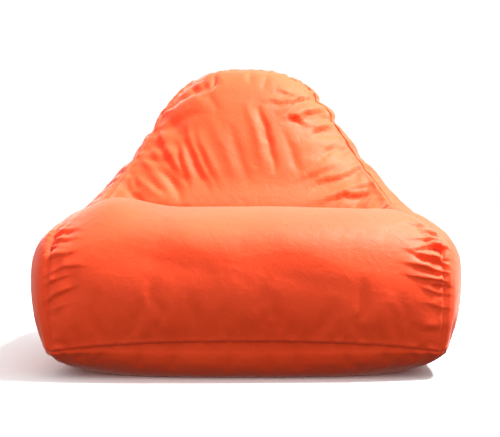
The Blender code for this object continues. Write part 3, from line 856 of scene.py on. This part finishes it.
class Shader:
    """A material with one Principled shader."""

    def __init__(self, name, colour, roughness, **sockets):
        self.material = bpy.data.materials.new(name)
        self.material.use_nodes = True
        self.tree = self.material.node_tree
        self.principled = self.tree.nodes["Principled BSDF"]
        self.principled.inputs["Base Color"].default_value = (*colour, 1)
        self.principled.inputs["Roughness"].default_value = roughness
        for socket, value in sockets.items():
            self.principled.inputs[socket.replace("_", " ")].default_value = value
        self.where = self.tree.nodes.new("ShaderNodeTexCoord")
        self.bumped = None

    def link(self, source, target):
        self.tree.links.new(source, target)

    def texture(self, kind, coordinates, scale, **settings):
        node = self.tree.nodes.new("ShaderNodeTex" + kind)
        node.inputs["Scale"].default_value = scale
        for name, value in settings.items():
            if name in node.inputs:
                node.inputs[name].default_value = value
            else:
                setattr(node, name, value)
        self.link(self.where.outputs[coordinates], node.inputs["Vector"])
        return node

    def ramp(self, source, low, high, to_low, to_high):
        node = self.tree.nodes.new("ShaderNodeMapRange")
        for name, value in zip(("From Min", "From Max", "To Min", "To Max"), (low, high, to_low, to_high)):
            node.inputs[name].default_value = value
        self.link(source, node.inputs["Value"])
        return node.outputs[0]

    def maths(self, operation, a, b):
        node = self.tree.nodes.new("ShaderNodeMath")
        node.operation = operation
        for k, value in enumerate((a, b)):
            if isinstance(value, (int, float)):
                node.inputs[k].default_value = value
            else:
                self.link(value, node.inputs[k])
        return node.outputs[0]

    def mixed(self, share, a, b):
        """A colour between a and b; each is a colour or a socket."""
        node = self.tree.nodes.new("ShaderNodeMix")
        node.data_type = "RGBA"
        self.link(share, node.inputs[0])
        for k, value in ((6, a), (7, b)):
            if isinstance(value, tuple):
                node.inputs[k].default_value = (*value, 1)
            else:
                self.link(value, node.inputs[k])
        return node.outputs[2]

    def bump(self, height, distance, strength=1.0):
        node = self.tree.nodes.new("ShaderNodeBump")
        node.inputs["Distance"].default_value = distance
        node.inputs["Strength"].default_value = strength
        self.link(height, node.inputs["Height"])
        if self.bumped:
            self.link(self.bumped, node.inputs["Normal"])
        self.bumped = node.outputs[0]
        self.link(self.bumped, self.principled.inputs["Normal"])

    def paint(self, colour):
        self.link(colour, self.principled.inputs["Base Color"])

    def roughen(self, value):
        self.link(value, self.principled.inputs["Roughness"])


def waves(period):
    """A Wave texture's scale for bands a period apart."""
    return 2 * math.pi / (20 * period)


def woven(name, colour, deep, coordinates, thread, crinkle, roughness=0.5, **sockets):
    """Plain-woven cloth: threads one thread apart, soft creases, a slightly uneven dye, painted shade in the
    weave's dips.
    """
    made = Shader(name, colour, roughness, **sockets)
    warp = made.texture("Wave", coordinates, waves(thread), bands_direction="X")
    across = "Y" if coordinates == "UV" else "Z"
    weft = made.texture("Wave", coordinates, waves(thread), bands_direction=across)
    weave = made.maths("MULTIPLY", warp.outputs["Fac"], weft.outputs["Fac"])
    creases = made.texture("Noise", "Object", 34.0, Detail=5.0, Roughness=0.62, Distortion=0.6)
    grain = made.texture("Noise", "Object", 7.0, Detail=3.0)
    slub = made.texture("Noise", "Object", 420.0, Detail=2.0)
    made.bump(creases.outputs["Fac"], crinkle)
    made.bump(slub.outputs["Fac"], 0.00025, 0.6)
    made.bump(weave, 0.00018, 0.5)
    uneven = made.ramp(grain.outputs["Fac"], 0.35, 0.65, 0.0, 0.55)
    # Painted shade: the cloth is painted towards deep where the weave dips between its threads
    fine = made.ramp(weave, 0.0, 1.0, 0.30, 0.0)
    made.paint(made.mixed(made.maths("ADD", uneven, fine), colour, deep))
    made.roughen(made.ramp(creases.outputs["Fac"], 0.3, 0.7, roughness - 0.07, roughness + 0.07))
    return made


def cover_cloth(name="cover_cloth", coordinates="UV"):
    made = woven(
        name, CLOTH_COLOUR, CLOTH_DEEP, coordinates, 0.0009, 0.0017, 0.55,
        Sheen_Weight=0.31, Sheen_Roughness=0.40, Sheen_Tint=(1.0, 0.85, 0.74, 1), Specular_IOR_Level=0.16,
    )
    return made.material


def tape_cloth(name, colour, deep):
    return woven(name, colour, deep, "Object", 0.0007, 0.0004, 0.7, Sheen_Weight=0.1).material


def spun_thread(name, colour):
    """Twisted polyester thread, painted darker as shade in the twist's grooves."""
    made = Shader(name, colour, 0.5, Sheen_Weight=0.25, Specular_IOR_Level=0.3)
    twist = made.texture("Wave", "Object", waves(0.0006), bands_direction="DIAGONAL")
    made.bump(twist.outputs["Fac"], 0.00012)
    # Painted shade: deep is the thread's colour darkened where the twist dips, as if shaded
    deep = tuple(0.7 * c for c in colour)
    made.paint(made.mixed(twist.outputs["Fac"], deep, colour))
    return made.material


def moulded(name, colour, roughness):
    """Nylon or polyester filament, with faint scuffs."""
    made = Shader(name, colour, roughness, Specular_IOR_Level=0.5)
    scuffs = made.texture("Noise", "Object", 900.0, Detail=3.0)
    made.bump(scuffs.outputs["Fac"], 0.00005)
    made.paint(made.mixed(scuffs.outputs["Fac"], tuple(0.8 * c for c in colour), colour))
    made.roughen(made.ramp(scuffs.outputs["Fac"], 0.3, 0.7, roughness - 0.08, roughness + 0.1))
    return made.material


def cast_metal(name):
    """Zinc slider metal: a satin cast skin, worn brighter here and there."""
    made = Shader(name, (0.58, 0.56, 0.53), 0.34, Metallic=1.0)
    skin = made.texture("Noise", "Object", 650.0, Detail=4.0)
    worn = made.texture("Noise", "Object", 160.0, Detail=2.0)
    made.bump(skin.outputs["Fac"], 0.00006)
    made.paint(made.mixed(worn.outputs["Fac"], (0.40, 0.39, 0.37), (0.72, 0.70, 0.66)))
    made.roughen(made.ramp(worn.outputs["Fac"], 0.3, 0.7, 0.46, 0.26))
    return made.material


def beads_material():
    """Packed foam beads, a few millimetres across, with painted shade in the gaps between them."""
    made = Shader("bead_fill", (0.88, 0.88, 0.87), 0.75)
    cells = made.texture("Voronoi", "Object", 260.0, feature="F1")
    made.bump(made.ramp(cells.outputs["Distance"], 0.0, 0.7, 1.0, 0.0), 0.0016)
    # Painted shade: the gaps between the beads are painted grey, as if shaded
    painted_gap_shade = made.ramp(cells.outputs["Distance"], 0.35, 0.75, 0.0, 1.0)
    made.paint(made.mixed(painted_gap_shade, (0.9, 0.9, 0.89), (0.55, 0.55, 0.55)))
    return made.material


# The DEEP colours are a cloth's darker tone, for its uneven dye and for the painted shade in its weave's
# dips
CLOTH_COLOUR = (0.94, 0.074, 0.0155)
CLOTH_DEEP = (0.87, 0.058, 0.0110)
THREAD_COLOUR = (0.74, 0.050, 0.012)
LINER_COLOUR = (0.86, 0.86, 0.84)
LINER_DEEP = (0.74, 0.74, 0.73)

cloth = cover_cloth()
plain_cloth = cover_cloth("cover_cloth_trim", "Object")
thread = spun_thread("sewing_thread", THREAD_COLOUR)
liner_cloth = woven("liner_cloth", LINER_COLOUR, LINER_DEEP, "Object", 0.0006, 0.0008, 0.75).material
beads = beads_material()
metal = cast_metal("zip_metal")

# ---------------------------------------------------------------- the cover and what is inside it

LINER_INSET, FILL_INSET = 0.016, 0.020
FREE_INSET = 0.013
INNER_PASSES = 12
INSET_ON_FLOOR = 0.2


def inner_layer(name, coarse, settled, inset, material, replaced, slot):
    """A closed layer under the cover, smoother than the cover and a little smaller."""
    move = settled - coarse.points
    eased = settled + averaged(move, coarse.faces, INNER_PASSES) - move
    inset = inset + FREE_INSET * (1 - zip_share(coarse.points))
    points = eased - normals_of(eased, coarse.faces) * inset[:, None]
    points[:, 2] = np.maximum(points[:, 2], INSET_ON_FLOOR * inset)
    layer = make_mesh(name, points, coarse.faces, material)
    finished(layer, "chair", slot, replaced)


coarse, fine, skin, settled = build_cover()
cover = make_mesh("cover", skin, fine.faces, cloth)
weave_map = cover.data.uv_layers.new(name="weave")
weave_map.data.foreach_set("uv", fine.thread_lines(skin).astype(np.float32).ravel())
finished(cover, "chair", "cover_cloth", *COVER_NODES)
inner_layer("liner", coarse, settled, LINER_INSET, liner_cloth, "liner_bag", "liner_cloth")
inner_layer("beads", coarse, settled, FILL_INSET, beads, "bead_fill", "bead_fill")

# ---------------------------------------------------------------- sewing

STITCH_PITCH, STITCH_LENGTH, STITCH_RADIUS = 0.0037, 0.0030, 0.00030
STITCH_RISE, STITCH_DIP, STITCH_TIP = 0.00035, 0.00025, 0.7
SINGLE = (0.0062,)
DOUBLE = (0.0034, 0.0100)
WALK_LINES = 8


def walked(strip, distance):
    """Points and normals at a distance from a seam: strip's first line is the seam, the others lead away."""
    steps = np.linalg.norm(np.diff(skin[strip], axis=0), axis=2)
    gone = np.concatenate([np.zeros((1, strip.shape[1])), steps.cumsum(0)])
    k = np.clip((gone < distance).sum(0) - 1, 0, len(strip) - 2)
    j = np.arange(strip.shape[1])
    share = (distance - gone[k, j]) / np.maximum(gone[k + 1, j] - gone[k, j], 1e-9)
    share = np.clip(share, 0, 1)[:, None]
    return [f[k, j] * (1 - share) + f[k + 1, j] * share for f in (skin[strip], skin_normals[strip])]


def stitch_shapes(path, facing):
    """One small spindle for each stitch along a path: its corner points and faces."""
    steps = np.linalg.norm(np.diff(path, axis=0), axis=1)
    length = np.concatenate([[0], steps.cumsum()])
    count = max(1, int(length[-1] / STITCH_PITCH))
    middle = (np.arange(count) + 0.5) * length[-1] / count
    rings = []
    tip = (-STITCH_DIP, STITCH_TIP)
    for side, rise, size in ((-1, *tip), (0, STITCH_RISE, 1), (1, *tip)):
        at = middle + side * STITCH_LENGTH / 2
        place = np.stack([np.interp(at, length, path[:, k]) for k in range(3)], axis=-1)
        out = unit(np.stack([np.interp(at, length, facing[:, k]) for k in range(3)], axis=-1))
        rings.append((place + out * rise, out, size * STITCH_RADIUS))
    ahead = rings[2][0] - rings[0][0]
    points = []
    for place, out, radius in rings:
        beside = unit(np.cross(ahead, out))
        points += [place + way * radius for way in (out, beside, -out, -beside)]
    points = np.stack(points, axis=1)
    shape = [(a, (a + 1) % 4, (a + 1) % 4 + 4, a + 4) for a in range(4)]
    shape += [tuple(v + 4 for v in f) for f in shape] + [(3, 2, 1, 0), (8, 9, 10, 11)]
    faces = (np.array(shape)[None] + 12 * np.arange(count)[:, None, None]).reshape(-1, 4)
    return points.reshape(-1, 3), faces


def sew(name, lines, *replaced):
    """A run of stitching. lines are (path, facing) pairs."""
    points, faces, start = [], [], 0
    for path, facing in lines:
        p, f = stitch_shapes(path, facing)
        points.append(p)
        faces.append(f + start)
        start += len(p)
    piece = make_mesh(name, np.concatenate(points), np.concatenate(faces).tolist(), thread)
    finished(piece, "chair", "sewing_thread", *replaced)


skin_normals = normals_of(skin, fine.faces)
front, rear = fine.ids["front"], fine.ids["rear"]
left, right = fine.ids["left"], fine.ids["right"]
seat_rows, back_rows = slice(1, fine.crease), slice(fine.crease + 1, len(fine.t) - 2)
side_seams = (("seat", front, seat_rows), ("backrest", front, back_rows), ("rear", rear, slice(1, -2)))
for hand, edge in (("left", slice(-1, -1 - WALK_LINES, -1)), ("right", slice(0, WALK_LINES))):
    for seam, grid, rows in side_seams:
        lines = [walked(grid[rows, edge].T, d) for d in SINGLE]
        sew(f"{seam}_stitches_{hand}", lines, f"{seam}_thread_{hand}")
crease, zip_row = fine.crease, fine.zip_row
sew("crease_stitches", [walked(front[crease:crease + WALK_LINES, 2:-2], d) for d in SINGLE], "crease_thread")
sew("top_stitches", [walked(front[:-1 - WALK_LINES:-1, 3:-3], d) for d in SINGLE], "top_thread")
above_base = [grid[:WALK_LINES, 1:-1] for grid in (front, rear, left, right)]
sew("base_stitches", [walked(strip, d) for strip in above_base for d in DOUBLE], "base_thread")

ZIP_SEAM = 0.0105
PAST_ZIP = 0.004
APRON_START = 0.262
BACKWARD = (0.0, 1.0, 0.0)


def zip_box(y):
    """The stitched rectangle round the zip, as one closed path."""
    wide, tall = ZIP_END + PAST_ZIP, ZIP_SEAM
    corners = np.array([(-wide, -tall), (wide, -tall), (wide, tall), (-wide, tall), (-wide, -tall)])
    path = np.stack([corners[:, 0], np.full(5, y), ZIP_Z + corners[:, 1]], axis=-1)
    return path, np.tile(BACKWARD, (5, 1))


zip_x = skin[rear[zip_row], 0]
apron_columns = (np.flatnonzero(zip_x > APRON_START)[:-1], np.flatnonzero(zip_x < -APRON_START)[1:])
apron = [walked(rear[zip_row:zip_row + WALK_LINES, columns], d) for columns in apron_columns for d in SINGLE]
sew("zip_stitches", [zip_box(ZIP_Y), *apron])

# ---------------------------------------------------------------- zips and trim

TAPE = tape_cloth("zip_tape", (0.70, 0.085, 0.025), (0.55, 0.06, 0.018))
COIL = moulded("zip_coil", (0.62, 0.095, 0.035), 0.38)
LINER_TAPE = tape_cloth("liner_zip_tape", (0.80, 0.80, 0.78), (0.68, 0.68, 0.66))
LINER_COIL = moulded("liner_zip_coil", (0.82, 0.82, 0.80), 0.38)


def repaint(node, material):
    """The CAD node keeps its shape and gets this material."""
    slots = bpy.data.objects[node].material_slots
    if not slots:
        bpy.data.objects[node].data.materials.append(material)
    for one in slots:
        one.material = material


for prefix, tape, coil in (("cover", TAPE, COIL), ("liner", LINER_TAPE, LINER_COIL)):
    finishes = {
        "tape_upper": tape, "tape_lower": tape, "coil_upper": coil, "coil_lower": coil,
        "slider": metal, "stop_open": metal, "stop_closed": metal,
    }
    for part, material in finishes.items():
        repaint(f"{prefix}_zip_{part}", material)

COIL_PITCH, COIL_WIRE, COIL_OVERLAP = 0.0016, 0.00034, 0.0002
COIL_TURN, WIRE_SIDES = 8, 4


def wound_coil(name, node, hand):
    """A zip's flat coil of filament: it fills its CAD bar and reaches a little over the zip's middle."""
    low, high = (np.array(c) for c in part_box(node))
    middle, half = (low + high) / 2, (high - low) / 2 - COIL_WIRE
    turns = int((high[0] - low[0]) / COIL_PITCH)
    t = np.linspace(0, turns * 2 * math.pi, turns * COIL_TURN + 1)
    x = low[0] + COIL_WIRE + (high[0] - low[0] - 2 * COIL_WIRE) * t / t[-1]
    y = middle[1] + half[1] * np.sin(t)
    z = middle[2] + half[2] * hand * np.cos(t) - hand * COIL_OVERLAP
    path = np.stack([x, y, z], axis=-1)
    ahead = unit(np.gradient(path, axis=0))
    side = unit(np.cross(ahead, (1.0, 0.0, 0.0)))
    other = np.cross(ahead, side)
    angles = np.arange(WIRE_SIDES) * 2 * math.pi / WIRE_SIDES
    rings = [path + COIL_WIRE * (math.cos(a) * side + math.sin(a) * other) for a in angles]
    points = np.stack(rings, axis=1).reshape(-1, 3)
    n = len(path)
    faces = []
    for k in range(WIRE_SIDES):
        m = (k + 1) % WIRE_SIDES
        i = np.arange(n - 1) * WIRE_SIDES
        faces.append(np.stack([i + k, i + m, i + m + WIRE_SIDES, i + k + WIRE_SIDES], axis=-1))
    faces = np.concatenate(faces).tolist()
    faces += [list(range(WIRE_SIDES))[::-1], [(n - 1) * WIRE_SIDES + k for k in range(WIRE_SIDES)]]
    finished(make_mesh(name, points, faces, COIL), "chair", "zip_coil", node)


wound_coil("cover_coil_upper", "cover_zip_coil_upper", 1)
wound_coil("cover_coil_lower", "cover_zip_coil_lower", -1)

PULL_LENGTH, PULL_WIDTH, PULL_THICK = 0.019, 0.0052, 0.0009
PULL_START, PULL_GAP, PULL_BEVEL, PULL_NECK = 0.002, 0.0003, 0.0002, 0.62
BAIL_RADIUS, BAIL_WIRE, BAIL_BACK = 0.0016, 0.00035, 0.0012


def slab(points, y_low, y_high, material, name):
    """A flat outline in XZ with a thickness along Y and softened edges."""
    mesh = bmesh.new()
    ring = [mesh.verts.new((x, y_low, z)) for x, z in points]
    face = mesh.faces.new(ring)
    grown = bmesh.ops.extrude_face_region(mesh, geom=[face])["geom"]
    moved = [g for g in grown if isinstance(g, bmesh.types.BMVert)]
    bmesh.ops.translate(mesh, vec=(0, y_high - y_low, 0), verts=moved)
    bmesh.ops.recalc_face_normals(mesh, faces=mesh.faces)
    flat_edges = [e for e in mesh.edges if abs(e.verts[0].co.y - e.verts[1].co.y) < 1e-7]
    bmesh.ops.bevel(mesh, geom=flat_edges, offset=PULL_BEVEL, segments=2, affect="EDGES", clamp_overlap=True)
    data = bpy.data.meshes.new(name)
    mesh.to_mesh(data)
    mesh.free()
    data.materials.append(material)
    return linked(name, data)


def pull_tab(name, node, body):
    """A leaf-shaped pull lying along the zip, held by a small bail on the slider's top plate."""
    low, high = (np.array(c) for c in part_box(node))
    centre = (low + high) / 2
    top = high[1]
    start = centre[0] + PULL_START
    t = np.linspace(0, 1, 15)
    round_ends = np.sqrt(np.maximum(0, 1 - (2 * t - 1) ** 10))
    half = PULL_WIDTH / 2 * (PULL_NECK + (1 - PULL_NECK) * np.sin(np.pi * t**1.6)) * round_ends
    edge = list(zip(start - PULL_LENGTH * t, half))
    outline = [(a, centre[2] + b) for a, b in edge] + [(a, centre[2] - b) for a, b in edge[::-1]]
    outline = [p for k, p in enumerate(outline) if math.dist(p, outline[k - 1]) > 1e-5]
    pull = slab(outline, top + PULL_GAP, top + PULL_GAP + PULL_THICK, metal, name)
    finished(pull, body, "zip_metal")
    bpy.ops.mesh.primitive_torus_add(
        major_radius=BAIL_RADIUS, minor_radius=BAIL_WIRE, major_segments=24, minor_segments=8,
        location=(start - BAIL_BACK, top, centre[2]),
    )
    bail = bpy.context.object
    bail.name = name.replace("pull", "bail")
    bail.data.materials.append(metal)
    finished(bail, body, "zip_metal")


pull_tab("cover_zip_pull", "cover_zip_slider", "cover_slider")


GARAGE_THICK, GARAGE_FLANGE, GARAGE_LIFT = 0.0008, 0.0045, 0.0001
GARAGE_ACROSS, GARAGE_ALONG = 25, 13
LABEL_THICK, LABEL_LIFT, LABEL_CURL, LABEL_WAVE = 0.0004, 0.0002, 0.0016, 0.0004
LABEL_SEAM, LABEL_ACROSS, LABEL_DOWN = 0.0022, 19, 11
TRIM_SEAM_END = 0.001


def thickened(piece, thickness, offset):
    """Gives a sheet its thickness, on the side that offset names."""
    solid = piece.modifiers.new("thickness", "SOLIDIFY")
    solid.thickness = thickness
    solid.offset = offset


def trim_seam(low, high, y, z):
    """A straight run of stitching along a piece of trim, as a path and its normals."""
    path = np.array([(low[0] + TRIM_SEAM_END, y, z), (high[0] - TRIM_SEAM_END, y, z)])
    return path, np.tile(BACKWARD, (2, 1))


def arch_sheet(name, node):
    """The garage: a cloth tunnel over the zip's closed end, sewn down along two flanges."""
    low, high = (np.array(c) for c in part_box(node))
    half_z, middle_z = (high[2] - low[2]) / 2, (low[2] + high[2]) / 2
    share = np.linspace(-1, 1, GARAGE_ACROSS)
    flat = half_z + GARAGE_FLANGE * np.array([0.5, 1.0])
    profile_z = np.concatenate([-flat[::-1], half_z * share, flat])
    profile_y = np.concatenate([[0, 0], (high[1] - low[1] - GARAGE_THICK) * (1 - share**4), [0, 0]])
    along_it = np.linspace(0, 1, GARAGE_ALONG)
    sag = 1 - 0.10 * np.sin(np.pi * along_it) + 0.03 * np.cos(np.linspace(0, 9, GARAGE_ALONG))
    points = np.empty((GARAGE_ALONG, len(profile_z), 3))
    points[..., 0] = np.linspace(low[0], high[0], GARAGE_ALONG)[:, None]
    points[..., 1] = low[1] + GARAGE_LIFT + profile_y * sag[:, None]
    points[..., 2] = middle_z + profile_z
    quads = grid_quads(np.arange(points.size // 3).reshape(points.shape[:2]))
    piece = make_mesh(name, points.reshape(-1, 3), quads[:, ::-1].tolist(), plain_cloth)
    thickened(piece, GARAGE_THICK, 1 if piece.data.polygons[0].normal.y > 0 else -1)
    smoother = piece.modifiers.new("smoother", "SUBSURF")
    smoother.levels = smoother.render_levels = 1
    finished(piece, "chair", "cover_cloth", node)
    reach = half_z + GARAGE_FLANGE * 0.55
    return [trim_seam(low, high, low[1] + 0.0010, middle_z + side * reach) for side in (-1, 1)]


def label_sheet(name, node):
    """A blank woven label: its top edge sewn down, its free edge lifting off the cloth a little."""
    low, high = (np.array(c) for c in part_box(node))
    fall = np.linspace(0, 1, LABEL_DOWN)[:, None]
    wave = LABEL_WAVE * np.sin(np.linspace(0, 5, LABEL_ACROSS))[None] * fall
    points = np.empty((LABEL_DOWN, LABEL_ACROSS, 3))
    points[..., 0] = np.linspace(low[0], high[0], LABEL_ACROSS)
    points[..., 1] = low[1] + LABEL_LIFT + LABEL_CURL * fall**2 + wave
    points[..., 2] = np.linspace(high[2], low[2], LABEL_DOWN)[:, None]
    quads = grid_quads(np.arange(points.size // 3).reshape(points.shape[:2]))
    piece = make_mesh(name, points.reshape(-1, 3), quads.tolist(), LABEL)
    thickened(piece, LABEL_THICK, -1)
    finished(piece, "chair", "care_label", node)
    return trim_seam(low, high, low[1] + 0.0006, high[2] - LABEL_SEAM)


LABEL = woven("care_label", (0.85, 0.84, 0.81), (0.72, 0.71, 0.68), "Object", 0.0005, 0.0003, 0.6).material
sew("trim_stitches", [*arch_sheet("garage", "zip_garage"), label_sheet("label", "care_label")])

# ---------------------------------------------------------------- stage, light, camera

FLOOR_HALF = 40
corners = [(x * FLOOR_HALF, y * FLOOR_HALF, 0) for x, y in ((-1, -1), (1, -1), (1, 1), (-1, 1))]
floor = make_mesh("floor", corners, [(0, 1, 2, 3)], Shader("floor_paint", (0.97, 0.97, 0.97), 0.9).material)
floor.visible_diffuse = False
floor.visible_glossy = False

world = bpy.data.worlds.new("studio")
bpy.context.scene.world = world
world.use_nodes = True
nodes, links = world.node_tree.nodes, world.node_tree.links
nodes.clear()
out = nodes.new("ShaderNodeOutputWorld")
background = nodes.new("ShaderNodeBackground")
where = nodes.new("ShaderNodeTexCoord")
split = nodes.new("ShaderNodeSeparateXYZ")
ramp = nodes.new("ShaderNodeMapRange")
for name, value in {"From Min": -0.50, "From Max": -0.03, "To Min": 0.03, "To Max": 1.05}.items():
    ramp.inputs[name].default_value = value
links.new(where.outputs["Generated"], split.inputs[0])
links.new(split.outputs["Z"], ramp.inputs["Value"])
links.new(ramp.outputs[0], background.inputs["Color"])
links.new(background.outputs[0], out.inputs[0])

key_data = bpy.data.lights.new("key", "AREA")
key_data.size = 1.0
key_data.energy = 310
key = linked("key", key_data)
key.location = (1.42, 0.00, 2.57)
key.rotation_mode = "QUATERNION"
key.rotation_quaternion = (Vector((0, 0, 0.3)) - key.location).to_track_quat("-Z", "Y")

camera_data = bpy.data.cameras.new("camera")
camera_data.sensor_width = 36
camera_data.lens = 103.9
camera = linked("camera", camera_data)
camera.location = (0.008, -3.27, 0.45)
camera.rotation_euler = (math.radians(87.5), 0, 0)
bpy.context.scene.camera = camera
bpy.context.scene.view_settings.view_transform = "Standard"
